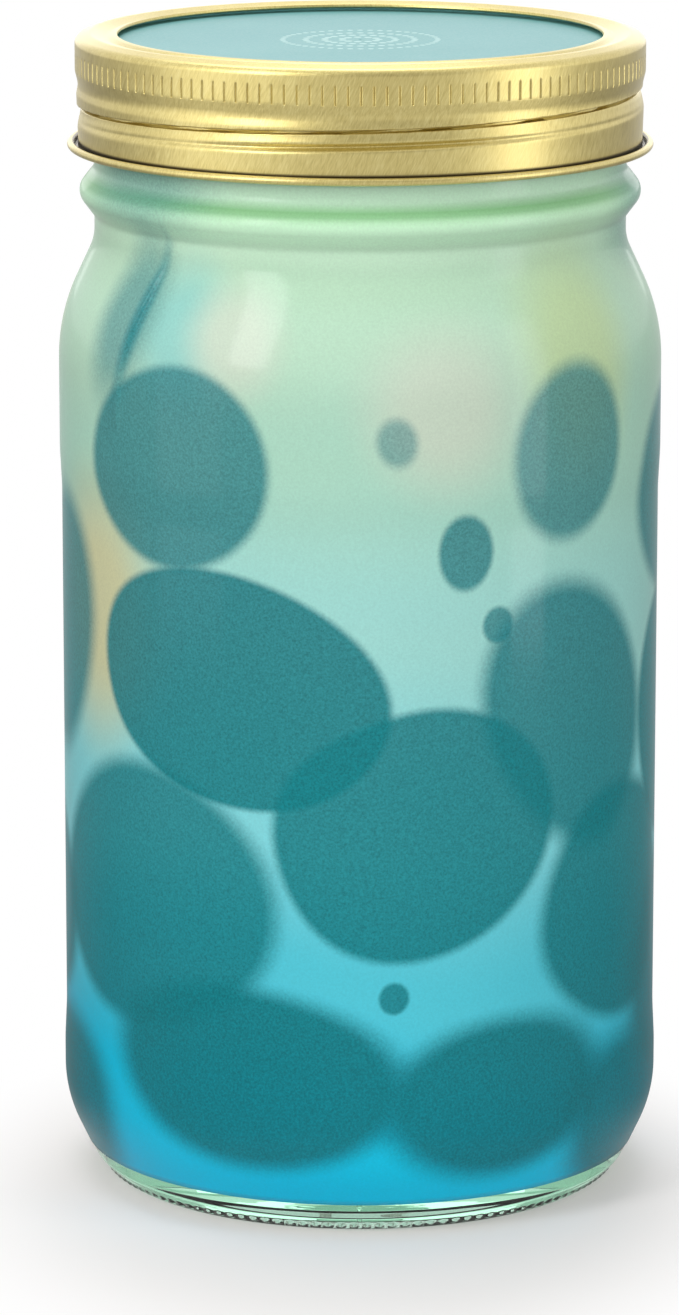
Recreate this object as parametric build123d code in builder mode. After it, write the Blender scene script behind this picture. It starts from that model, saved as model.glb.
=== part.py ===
from build123d import *
import os
from math import ceil, pi, radians, sqrt, tan

os.makedirs("parts", exist_ok=True)

# Hydroponic jar planter: a wide mouth glass jar in a printed sleeve, closed by a flat lid disc
# and a screw band, with a net pot, its growing medium and a wick hanging in the mouth.
# Millimetres, +Z up, origin on the surface that the jar stands on, on the jar's own axis.
# The front of the object looks along -Y.

# Overall height, and the running gap left between pieces that come apart
total_height = 184.0
seat_gap = 0.05
soft_gap = 0.3
overrun = 2.0

# Glass jar: body, with a slightly recessed panel round it
body_radius = 47.6
panel_recess = 0.3
panel_blend = 6.0
panel_bottom = 27.0
panel_to_shoulder = 27.1

# Glass jar: finish, bead, neck and shoulder, from the lip down
neck_inset = 5.8
mouth_wall = 3.4
lip_bevel = 0.9
finish_height = 18.7
bead_height = 2.9
bead_upper = 3.7
bead_lower = 3.9
bead_nose_round = 2.3
neck_below_bead = 3.8
neck_hollow = 13.0
shoulder_height = 12.4
shoulder_round = 30.0

# Glass jar: heel, flat bearing ring and the base pushed up inside it
heel_top = 12.4
heel_round = 27.0
heel_low = 2.6
heel_inset = 4.6
heel_low_round = 5.0
ring_inset = 7.2
ring_width = 2.2
ring_round = 0.8
push_up_margin = 6.2
push_up_rise = 3.6
push_up_crown = 2.0

# Glass jar: inside
glass_wall = 3.0
floor_thickness = 4.2
floor_crown = 1.6
inner_heel_round = 9.0

# Tinplate of the band and the lid disc
sheet = 0.3

# Screw band: flange, knurled belt, skirt and the hem rolled outwards
band_height = 18.1
flange_width = 6.6
flange_dish = 0.35
flange_corner_round = 2.4
belt_height = 6.8
belt_step = 1.2
skirt_inset = 0.35
hem_radius = 1.0
hem_overhang = 1.3
knurl_pitch = 1.96
knurl_depth = 0.18
knurl_size = 0.36
knurl_height = 3.0
knurl_margin = 0.8

# The thread: one turn of it is moulded on the glass, the other is pressed into the band
thread_pitch = 6.35
thread_height = 1.7
thread_foot = 2.4
thread_crest = 1.0
thread_root = 1.2
thread_turns = 1.25
thread_lip_gap = 3.0
thread_side_gap = 0.75
thread_clearance = 0.35
groove_front_drop = 10.4
groove_depth = 1.3
groove_upper_flank = 0.45
groove_lower_flank = 1.0
groove_floor = 0.5
groove_low_turn = 0.58
groove_high_turn = 0.36
run_out_radius = 20.0
run_out_height = 5.0
crease_drop = 2.4
crease_depth = 0.45
crease_low_turn = 0.06
crease_high_turn = 0.16

# Printed sleeve shrunk onto the glass, its top edge tucked under the band's hem
sleeve_gap = 0.05
sleeve_film = 0.15
sleeve_bottom = 5.2
sleeve_tuck = 2.1

# Lid disc and its sealing ring
disc_overhang = 1.1
disc_panel_margin = 0.9
disc_panel_drop = 0.5
gasket_inner_margin = 0.2
gasket_outer_inset = 0.6
gasket_thickness = 0.8

# Net pot
pot_sheet = 0.5
pot_depth = 56.0
pot_flange_inset = 0.5
pot_side_gap = 0.8
pot_taper = 4.6
pot_corner_bevel = 2.0
slot_width = 3.2
slot_height = 9.5
slot_rows = 3
slots_per_row = 14
slot_rise = 14.0
slot_first = 9.0
floor_slot_length = 11.0
floor_slot_count = 8
floor_slot_inset = 10.0

# Wick: one felt strip folded over in the pot, with both tails hanging in the water
wick_thickness = 2.5
wick_width = 14.0
wick_half_span = 6.0
wick_rise = 14.0
wick_floor_gap = 3.0

# Growing medium: a coir plug in the lower part of the pot
medium_height = 30.0
medium_crown = 1.4
medium_edge = 2.0

# Packets that lie on the medium: the seed packet is as long as the pot has room for
seed_packet_width = 38.0
seed_packet_clearance = 3.0
seed_packet_thickness = 1.2
seed_packet_flap = 12.0
seed_packet_flap_inset = 5.0
paper = 0.4
sachet_length = 42.0
sachet_width = 30.0
sachet_thickness = 7.0
sachet_seal = 4.0
sachet_film = 0.6
sachet_swell_share = 0.55

# Heights of the lid stack, from the top of the band down to the glass lip
flange_top = total_height
disc_top = flange_top - flange_dish - sheet - seat_gap
gasket_top = disc_top - sheet
gasket_bottom = gasket_top - gasket_thickness
pot_flange_top = gasket_bottom - seat_gap
pot_seat = pot_flange_top - pot_sheet
lip_top = pot_seat - seat_gap

# Heights of the glass, from the lip down
bead_top = lip_top - finish_height
bead_middle = bead_top - bead_upper
bead_bottom = bead_middle - bead_lower
shoulder_top = bead_bottom - neck_below_bead
shoulder_bottom = shoulder_top - shoulder_height
panel_top = shoulder_bottom - panel_to_shoulder

# Radii of the glass, and of what fits on its neck and in its mouth
inner_radius = body_radius - glass_wall
neck_radius = body_radius - neck_inset
mouth_radius = neck_radius - mouth_wall
ring_outer_radius = body_radius - ring_inset
ring_inner_radius = ring_outer_radius - ring_width
push_up_radius = ring_inner_radius - push_up_margin
skirt_radius = neck_radius + thread_height + thread_side_gap + sheet
belt_radius = skirt_radius + skirt_inset
flange_inner_radius = belt_radius - flange_width
pot_top_radius = mouth_radius - pot_side_gap
pot_bottom_radius = pot_top_radius - pot_taper

FRONT = -90.0
FULL_TURN = 360.0


def turn_height(turns):
    """Rise of the thread over a number of turns."""
    return thread_pitch * turns


def rounded_line(*corners):
    """Line through (radius, height, round) corners, each round limited to what its runs have room for."""
    points = [Vector(radius, height) for radius, height, _ in corners]
    runs = [end - start for start, end in zip(points, points[1:])]
    turns = [before.get_angle(after) for before, after in zip(runs, runs[1:])]
    asked = [corner[2] for corner in corners[1:-1]]
    reaches = [0, *(size * tan(radians(turn / 2)) for size, turn in zip(asked, turns)), 0]
    used_shares = [(low + high) / run.length for run, low, high in zip(runs, reaches, reaches[1:])]
    rounds = [size / max(1, *pair) for size, pair in zip(asked, zip(used_shares, used_shares[1:]))]
    return FilletPolyline(*points, radius=rounds)


def outer_wall(extra):
    """Corners of the glass outside, from the neck to the heel, grown by extra."""
    neck = neck_radius + extra
    body = body_radius + extra
    panel = body - panel_recess
    return [
        (neck, bead_top, 0),
        (neck + bead_height, bead_middle, bead_nose_round),
        (neck, bead_bottom, 0),
        (neck, shoulder_top, neck_hollow),
        (body, shoulder_bottom, shoulder_round),
        (body, panel_top + panel_blend, 0),
        (panel, panel_top, 0),
        (panel, panel_bottom, 0),
        (body, panel_bottom - panel_blend, 0),
        (body, heel_top, heel_round),
    ]


def heel_point(height, extra):
    """Radius and height of a point on the straight part of the heel."""
    slope = heel_inset / (heel_top - heel_low)
    return (body_radius + extra - slope * (heel_top - height), height)


def helical_bar(outline, turns):
    """Sweeps a closed outline of (radius, height) points up the thread's helix, from azimuth zero."""
    with BuildPart() as bar:
        with BuildLine() as path:
            Helix(pitch=thread_pitch, height=turn_height(turns), radius=neck_radius)
        with BuildSketch(Plane.XZ):
            with BuildLine():
                Polyline(*outline, close=True)
            make_face()
        sweep(path=path.line, is_frenet=True)
    return bar.part


def pressed_bar(face_radius, depth, spread, back, turns, run_out):
    """Helical bar of the pressed thread's outline, running out at both ends along a round cutter."""
    floor_half = groove_floor / 2 + spread
    back_share = (depth + back) / depth
    floor_radius = face_radius - depth
    outline = [
        (face_radius + back, -floor_half - groove_lower_flank * back_share),
        (floor_radius, -floor_half),
        (floor_radius, floor_half),
        (face_radius + back, floor_half + groove_upper_flank * back_share),
    ]
    with BuildPart() as bar:
        add(helical_bar(outline, turns))
        for end_turn in (0, turns):
            with Locations(Location((0, 0, turn_height(end_turn)), (0, 0, FULL_TURN * end_turn))):
                with Locations((face_radius + back / 2 - run_out, 0, 0)):
                    Cylinder(run_out, run_out_height, mode=Mode.SUBTRACT)
    return bar.part


def on_helix(front_height, turn):
    """Place of a point on a helix, counted in turns from the front."""
    return Location((0, 0, front_height + turn_height(turn)), (0, 0, FRONT + FULL_TURN * turn))


def pot_wall_radius(height):
    """Inside radius of the net pot's tapered wall at a height above its floor."""
    return pot_bottom_radius - pot_sheet + pot_taper / pot_depth * height


# Glass jar: one revolved outline, with the thread moulded on its finish
lip_middle = (mouth_radius + neck_radius) / 2
shoulder_shift = glass_wall / 2
inner_floor = push_up_rise + floor_thickness
with BuildPart() as jar_blank:
    with BuildSketch(Plane.XZ):
        with BuildLine():
            outside = rounded_line(
                (lip_middle, lip_top, 0),
                (neck_radius - lip_bevel, lip_top, 0),
                (neck_radius, lip_top - lip_bevel, 0),
                *outer_wall(0),
                (*heel_point(heel_low, 0), heel_low_round),
                (ring_outer_radius, 0, ring_round),
                (ring_inner_radius, 0, ring_round),
                (push_up_radius, push_up_rise, heel_low_round),
                (0, push_up_rise + push_up_crown, 0),
            )
            inside = rounded_line(
                (0, inner_floor + floor_crown, 0),
                (push_up_radius, inner_floor, inner_heel_round),
                (inner_radius, inner_floor, inner_heel_round),
                (inner_radius, shoulder_bottom + shoulder_shift, shoulder_round),
                (mouth_radius, shoulder_top + shoulder_shift, neck_hollow),
                (mouth_radius, lip_top - lip_bevel, 0),
                (mouth_radius + lip_bevel, lip_top, 0),
                (lip_middle, lip_top, 0),
            )
            Line(outside @ 1, inside @ 0)
        make_face()
    revolve(axis=Axis.Z)

thread_outline = [
    (neck_radius - thread_root, -thread_foot / 2),
    (neck_radius, -thread_foot / 2),
    (neck_radius + thread_height, -thread_crest / 2),
    (neck_radius + thread_height, thread_crest / 2),
    (neck_radius, thread_foot / 2),
    (neck_radius - thread_root, thread_foot / 2),
]
groove_front_height = flange_top - groove_front_drop
groove_top_half = groove_floor / 2 + groove_upper_flank
thread_front_height = groove_front_height + groove_top_half + thread_crest / 2 + thread_clearance
thread_start_turn = (lip_top - thread_lip_gap - thread_front_height) / thread_pitch - thread_turns
with BuildPart() as jar_thread:
    add(helical_bar(thread_outline, thread_turns))
    # Each end of the thread runs out on a flat that is tangent to the neck
    for end_turn, end_height in ((0, 0), (thread_turns, turn_height(thread_turns))):
        with Locations(Location((0, 0, end_height), (0, 0, FULL_TURN * end_turn))):
            with Locations((neck_radius + thread_height, 0, 0)):
                Box(2 * thread_height, body_radius, 2 * thread_foot, mode=Mode.SUBTRACT)

with BuildPart() as jar:
    add(jar_blank.part)
    with Locations(on_helix(thread_front_height, thread_start_turn)):
        add(jar_thread.part)
jar.part.label = "jar"
export_step(jar.part, "parts/jar.step")

# Printed sleeve: a film that follows the glass from the heel to under the band
hem_bottom = flange_top - band_height


def film_line(extra):
    """One face of the printed film, at a distance from the glass."""
    return rounded_line(
        (neck_radius + extra, hem_bottom + sleeve_tuck, 0),
        *outer_wall(extra),
        (*heel_point(sleeve_bottom, extra), 0),
    )


with BuildPart() as printed_sleeve:
    with BuildSketch(Plane.XZ):
        with BuildLine():
            film_inside = film_line(sleeve_gap)
            film_outside = film_line(sleeve_gap + sleeve_film)
            Line(film_inside @ 0, film_outside @ 0)
            Line(film_inside @ 1, film_outside @ 1)
        make_face()
    revolve(axis=Axis.Z)
printed_sleeve.part.label = "printed_sleeve"
export_step(printed_sleeve.part, "parts/printed_sleeve.step")

# Screw band: a drawn sheet ring with a dished flange, a knurled belt, a skirt and a rolled hem
belt_bottom = flange_top - belt_height
hem_middle = (belt_radius + hem_overhang - hem_radius, hem_bottom + hem_radius)
knurl_count = ceil(2 * pi * belt_radius / knurl_pitch)
with BuildPart() as band_blank:
    with BuildSketch(Plane.XZ):
        with BuildLine():
            band_outside = rounded_line(
                (flange_inner_radius, flange_top - flange_dish, 0),
                (belt_radius - flange_corner_round, flange_top, flange_corner_round),
                (belt_radius, flange_top - sheet, flange_corner_round),
                (belt_radius, belt_bottom, 0),
                (skirt_radius, belt_bottom - belt_step, 0),
                (skirt_radius, hem_middle[1], 0),
            )
            offset(band_outside, amount=sheet, side=Side.RIGHT)
        make_face()
    revolve(axis=Axis.Z)
    with BuildSketch(Plane.XZ):
        with Locations(hem_middle):
            Circle(hem_radius)
    revolve(axis=Axis.Z)

# The band's thread: a ridge pressed inwards, with its groove showing outside, and a short shallow
# crease of the same lead below it at the front
with BuildPart() as screw_band:
    add(band_blank.part)
    presses = [
        (groove_depth, groove_front_height, -groove_low_turn, groove_high_turn),
        (crease_depth, groove_front_height - crease_drop, -crease_low_turn, crease_high_turn),
    ]
    for depth, height, low, high in presses:
        with Locations(on_helix(height, low)):
            add(pressed_bar(skirt_radius - sheet, depth, sheet, sheet / 2, high - low, run_out_radius))
    for depth, height, low, high in presses:
        with Locations(on_helix(height, low)):
            add(pressed_bar(skirt_radius, depth, 0, sheet, high - low, run_out_radius + sheet),
                mode=Mode.SUBTRACT)
    with BuildSketch(Plane.XY.offset(belt_bottom + knurl_margin)):
        with PolarLocations(belt_radius + knurl_size - knurl_depth, knurl_count):
            RegularPolygon(knurl_size, side_count=3, rotation=FULL_TURN / 2)
    extrude(amount=knurl_height, mode=Mode.SUBTRACT)
screw_band.part.label = "screw_band"
export_step(screw_band.part, "parts/screw_band.step")

# Lid disc: a flat rim over the sealing ring and a panel set a little lower
disc_panel_radius = flange_inner_radius - disc_panel_margin
with BuildPart() as lid_disc:
    with BuildSketch(Plane.XZ):
        with BuildLine():
            disc_upper = Polyline(
                (0, disc_top - disc_panel_drop),
                (disc_panel_radius, disc_top - disc_panel_drop),
                (disc_panel_radius + disc_panel_drop, disc_top),
                (neck_radius + disc_overhang, disc_top),
            )
            offset(disc_upper, amount=sheet, kind=Kind.INTERSECTION, side=Side.RIGHT)
        make_face()
    revolve(axis=Axis.Z)
lid_disc.part.label = "lid_disc"
export_step(lid_disc.part, "parts/lid_disc.step")

# Sealing ring under the rim of the disc
with BuildPart() as lid_gasket:
    with BuildSketch(Plane.XY.offset(gasket_bottom)):
        Circle(neck_radius - gasket_outer_inset)
        Circle(mouth_radius + gasket_inner_margin, mode=Mode.SUBTRACT)
    extrude(amount=gasket_thickness)
lid_gasket.part.label = "lid_gasket"
export_step(lid_gasket.part, "parts/lid_gasket.step")

# Net pot: a drawn cup whose flange lies on the glass lip, with rows of slots for roots and air
pot_floor = pot_flange_top - pot_depth
slot_reach = pot_taper + 2 * overrun
with BuildPart() as net_pot:
    with BuildSketch(Plane.XZ):
        with BuildLine():
            pot_inside = Polyline(
                (neck_radius - pot_flange_inset, pot_flange_top),
                (pot_top_radius - pot_sheet, pot_flange_top),
                (pot_wall_radius(pot_corner_bevel), pot_floor + pot_corner_bevel),
                (pot_wall_radius(0) - pot_corner_bevel, pot_floor),
                (0, pot_floor),
            )
            offset(pot_inside, amount=pot_sheet, kind=Kind.INTERSECTION, side=Side.LEFT)
        make_face()
    revolve(axis=Axis.Z)
    for row in range(slot_rows):
        slot_height_middle = pot_floor + slot_first + slot_height / 2 + row * slot_rise
        half_step = row % 2 / 2 * FULL_TURN / slots_per_row
        with Locations((0, 0, slot_height_middle)):
            with PolarLocations(pot_wall_radius(0), slots_per_row, start_angle=half_step):
                Box(slot_reach, slot_width, slot_height, mode=Mode.SUBTRACT)
    with Locations((0, 0, pot_floor)):
        with PolarLocations(pot_bottom_radius - floor_slot_inset, floor_slot_count):
            Box(floor_slot_length, slot_width, overrun, mode=Mode.SUBTRACT)
        with Locations((-wick_half_span, 0), (wick_half_span, 0)):
            Box(wick_thickness + 2 * soft_gap, wick_width + 2 * soft_gap, overrun, mode=Mode.SUBTRACT)
net_pot.part.label = "net_pot"
export_step(net_pot.part, "parts/net_pot.step")


def wick_line(shift):
    """One face of the folded wick, shifted from its middle."""
    half = wick_half_span + shift
    top = pot_floor + wick_rise + shift
    low = inner_floor + floor_crown + wick_floor_gap
    bend = wick_half_span - wick_thickness / 2 + shift
    return FilletPolyline((-half, low), (-half, top), (half, top), (half, low), radius=bend)


# Wick: a felt strip folded over inside the pot, both tails hanging to just above the glass floor
with BuildPart() as wick:
    with BuildSketch(Plane.XZ):
        with BuildLine():
            wick_inside = wick_line(-wick_thickness / 2)
            wick_outside = wick_line(wick_thickness / 2)
            Line(wick_inside @ 0, wick_outside @ 0)
            Line(wick_inside @ 1, wick_outside @ 1)
        make_face()
    extrude(amount=wick_width / 2, both=True)
wick.part.label = "wick"
export_step(wick.part, "parts/wick.step")

# Growing medium: a crowned coir plug with a pocket for the wick's fold
medium_bottom = pot_floor + soft_gap
medium_corner = pot_corner_bevel + soft_gap
medium_shoulder = medium_bottom + medium_height
medium_top = medium_shoulder + medium_crown
pocket_height = wick_rise + wick_thickness / 2 + soft_gap
with BuildPart() as growing_medium:
    with BuildSketch(Plane.XZ):
        with BuildLine():
            Polyline(
                (0, medium_bottom),
                (pot_wall_radius(0) - medium_corner, medium_bottom),
                (pot_wall_radius(medium_corner) - 2 * soft_gap, medium_bottom + medium_corner),
                (pot_wall_radius(medium_height) - 2 * soft_gap, medium_shoulder - medium_edge),
                (pot_wall_radius(medium_height) - medium_edge, medium_shoulder),
                (0, medium_top),
                close=True,
            )
        make_face()
    revolve(axis=Axis.Z)
    with Locations((0, 0, pot_floor)):
        Box(2 * wick_half_span + wick_thickness + 2 * soft_gap, wick_width + 2 * soft_gap,
            pocket_height, align=(Align.CENTER, Align.CENTER, Align.MIN), mode=Mode.SUBTRACT)
growing_medium.part.label = "growing_medium"
export_step(growing_medium.part, "parts/growing_medium.step")

# Seed packet: a flat paper envelope with its flap folded over, lying on the medium
seed_packet_bottom = medium_top + soft_gap
seed_packet_reach = pot_wall_radius(seed_packet_bottom - pot_floor) - seed_packet_clearance
seed_packet_length = 2 * sqrt(seed_packet_reach ** 2 - (seed_packet_width / 2) ** 2)
with BuildPart() as seed_packet:
    with BuildSketch(Plane.XY.offset(seed_packet_bottom)):
        Rectangle(seed_packet_length, seed_packet_width)
    extrude(amount=seed_packet_thickness)
    flap_edge = seed_packet_length / 2
    flap_half = seed_packet_width / 2
    with BuildSketch(Plane.XY.offset(seed_packet_bottom + seed_packet_thickness)):
        with BuildLine():
            Polyline(
                (flap_edge, -flap_half),
                (flap_edge, flap_half),
                (flap_edge - seed_packet_flap, flap_half - seed_packet_flap_inset),
                (flap_edge - seed_packet_flap, seed_packet_flap_inset - flap_half),
                close=True,
            )
        make_face()
    extrude(amount=paper)
seed_packet.part.label = "seed_packet"
export_step(seed_packet.part, "parts/seed_packet.step")

# Plant food sachet: a pillow between two sealed edges, lying on the seed packet
sachet_bottom = seed_packet_bottom + seed_packet_thickness + paper + soft_gap
sachet_middle = sachet_bottom + sachet_thickness / 2
with BuildPart() as plant_food_sachet:
    with BuildSketch(Plane.XY.offset(sachet_middle - sachet_film / 2)):
        Rectangle(sachet_width, sachet_length)
    extrude(amount=sachet_film)
    for face_height in (sachet_bottom, sachet_bottom + sachet_thickness):
        with BuildSketch(Plane.XY.offset(sachet_middle)):
            Rectangle(sachet_width - sachet_seal, sachet_length - 2 * sachet_seal)
        with BuildSketch(Plane.XY.offset(face_height)):
            Rectangle(sachet_width * sachet_swell_share, sachet_length * sachet_swell_share)
        loft()
plant_food_sachet.part.label = "plant_food_sachet"
export_step(plant_food_sachet.part, "parts/plant_food_sachet.step")
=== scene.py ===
import math
import random

import bpy
import numpy as np
from mathutils import Matrix, Vector, noise


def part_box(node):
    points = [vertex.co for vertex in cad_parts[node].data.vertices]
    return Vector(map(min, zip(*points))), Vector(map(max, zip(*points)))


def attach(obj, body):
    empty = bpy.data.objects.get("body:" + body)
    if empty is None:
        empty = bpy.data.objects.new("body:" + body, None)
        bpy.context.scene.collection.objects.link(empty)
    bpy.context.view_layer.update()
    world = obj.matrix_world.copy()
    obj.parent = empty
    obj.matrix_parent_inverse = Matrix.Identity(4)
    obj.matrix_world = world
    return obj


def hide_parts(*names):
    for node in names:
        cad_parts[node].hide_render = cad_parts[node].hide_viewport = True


# Hydroponic jar planter: the finished surfaces and soft pieces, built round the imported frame.
# Metres, +Z up, origin on the surface that the jar stands on, front towards -Y.
# Sizes are in millimetres, and MM turns them into metres. Materials, camera and lamps are in metres.
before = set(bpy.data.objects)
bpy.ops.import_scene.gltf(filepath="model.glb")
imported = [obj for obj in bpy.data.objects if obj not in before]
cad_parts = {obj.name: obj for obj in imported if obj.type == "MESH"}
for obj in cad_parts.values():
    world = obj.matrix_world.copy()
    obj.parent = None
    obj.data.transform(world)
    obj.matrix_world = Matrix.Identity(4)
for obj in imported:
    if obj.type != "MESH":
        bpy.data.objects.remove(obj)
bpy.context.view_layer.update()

MM = 0.001
TURN = 2 * math.pi
BACK = math.pi / 2
SEED = 7

# Sizes read from the frame
_, jar_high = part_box("jar")
band_low, band_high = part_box("screw_band")
_, disc_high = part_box("lid_disc")
gasket_low, gasket_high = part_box("lid_gasket")
pot_low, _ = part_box("net_pot")
medium_low, medium_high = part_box("growing_medium")
wick_low, wick_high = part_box("wick")
seed_low, seed_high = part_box("seed_packet")
sachet_low, sachet_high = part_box("plant_food_sachet")
sleeve_low, sleeve_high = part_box("printed_sleeve")
body_radius = jar_high.x / MM
lip_top = jar_high.z / MM
flange_top = band_high.z / MM
hem_bottom = band_low.z / MM
hem_reach = band_high.x / MM

# Glass outline, as in the frame: insets from the body, and heights from the lip or the floor
neck_radius = body_radius - 5.8
mouth_radius = neck_radius - 3.4
inner_radius = body_radius - 3.0
bead_top = lip_top - 18.7
bead_middle = bead_top - 3.7
bead_bottom = bead_middle - 3.9
bead_height = 2.9
shoulder_top = bead_bottom - 3.8
shoulder_bottom = shoulder_top - 12.4
panel_top = shoulder_bottom - 27.1
panel_bottom = 27.0
panel_blend = 6.0
panel_recess = 0.3
heel_top = 12.4
heel_low = 2.6
heel_inset = 4.6
ring_outer = body_radius - 7.2
ring_inner = ring_outer - 2.2
push_up_radius = ring_inner - 6.2
push_up_rise = 3.6
push_up_crown = 2.0
inner_floor = 7.8
floor_crown = 1.6

# Screw closure: sheet metal, belt, rolled hem, and the thread's pitch and height at the front
metal = 0.3
belt_radius = hem_reach - 1.3
belt_bottom = flange_top - 6.8
hem_roll = 0.6
pitch = 6.35
groove_height = flange_top - 10.0375


# Outlines and meshes
def rounded(corners, step=0.6):
    """Points along a line through (radius, height, round) corners, with arcs at its corners."""
    points = [Vector((radius, height)) for radius, height, _ in corners]
    path = [points[0]]
    for before, here, after, (_, _, size) in zip(points, points[1:], points[2:], corners[1:]):
        into = (here - before).normalized()
        out = (after - here).normalized()
        turn = into.angle_signed(out, 0)
        if size <= 0 or abs(turn) < 1e-3:
            path.append(here)
            continue
        reach = size * math.tan(abs(turn) / 2)
        start = here - into * reach
        side = Vector((-into.y, into.x)) * (-1 if turn > 0 else 1)
        centre = start + side * size
        count = max(3, math.ceil(abs(turn) * size / (step / 2)), math.ceil(abs(turn) / 0.2))
        arm = start - centre
        for index in range(count + 1):
            path.append(centre + Matrix.Rotation(-turn * index / count, 2) @ arm)
    path.append(points[-1])
    dense = [path[0]]
    for start, end in zip(path, path[1:]):
        count = max(1, math.ceil((end - start).length / step))
        dense += [start.lerp(end, (index + 1) / count) for index in range(count)]
    return np.array(dense)


def placed(name, data):
    """Puts a mesh, lamp or camera into the scene."""
    obj = bpy.data.objects.new(name, data)
    bpy.context.scene.collection.objects.link(obj)
    return obj


def new_mesh(name, vertices, faces):
    """A smooth mesh object from points in millimetres and faces."""
    mesh = bpy.data.meshes.new(name)
    mesh.from_pydata((np.asarray(vertices, float) * MM).tolist(), [], faces)
    mesh.update()
    mesh.shade_smooth()
    return placed(name, mesh)


def lathe(name, outline, angles, moved=None):
    """Revolves a closed outline of (radius, height) about the jar's axis, at the given angles or at a
    number of even angles. moved gives the final radius and height of every point, from its angle,
    radius and height."""
    if isinstance(angles, int):
        angles = np.arange(angles) * TURN / angles
    rows = len(outline)
    count = len(angles)
    angle = np.repeat(angles[:, None], rows, 1)
    radius = np.repeat(outline[None, :, 0], count, 0)
    height = np.repeat(outline[None, :, 1], count, 0)
    if moved:
        radius, height = moved(angle, radius, height)
    points = np.stack([radius * np.cos(angle), radius * np.sin(angle), height], 2).reshape(-1, 3)
    spin, row = np.meshgrid(np.arange(count), np.arange(rows), indexing="ij")
    after_spin = (spin + 1) % count
    after_row = (row + 1) % rows
    quads = np.stack([spin * rows + row, after_spin * rows + row,
                      after_spin * rows + after_row, spin * rows + after_row], 2).reshape(-1, 4)
    across, up = outline.T
    if (across * np.roll(up, -1) - np.roll(across, -1) * up).sum() < 0:
        quads = quads[:, ::-1]
    mesh = bpy.data.meshes.new(name)
    mesh.vertices.add(len(points))
    mesh.vertices.foreach_set("co", (points * MM).astype(np.float32).ravel())
    mesh.loops.add(quads.size)
    mesh.loops.foreach_set("vertex_index", np.ascontiguousarray(quads, np.int32).ravel())
    mesh.polygons.add(len(quads))
    mesh.polygons.foreach_set("loop_start", np.arange(0, quads.size, 4, dtype=np.int32))
    mesh.update(calc_edges=True)
    mesh.validate()
    mesh.shade_smooth()
    return placed(name, mesh)


def soft_step(low, high, value):
    """0 below low, 1 above high, and a smooth rise between them."""
    share = np.clip((value - low) / (high - low), 0, 1)
    return share * share * (3 - 2 * share)


def plateau(value, rise, drop):
    """A smooth rise from 0 to 1 over one pair of values, and a smooth drop over the next pair."""
    return soft_step(*rise, value) * (1 - soft_step(*drop, value))


def turns_from_front(angle):
    """Turns from the front of the jar, from -0.5 to 0.5, growing towards +X."""
    return (angle + BACK + math.pi) % TURN / TURN - 0.5


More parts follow.
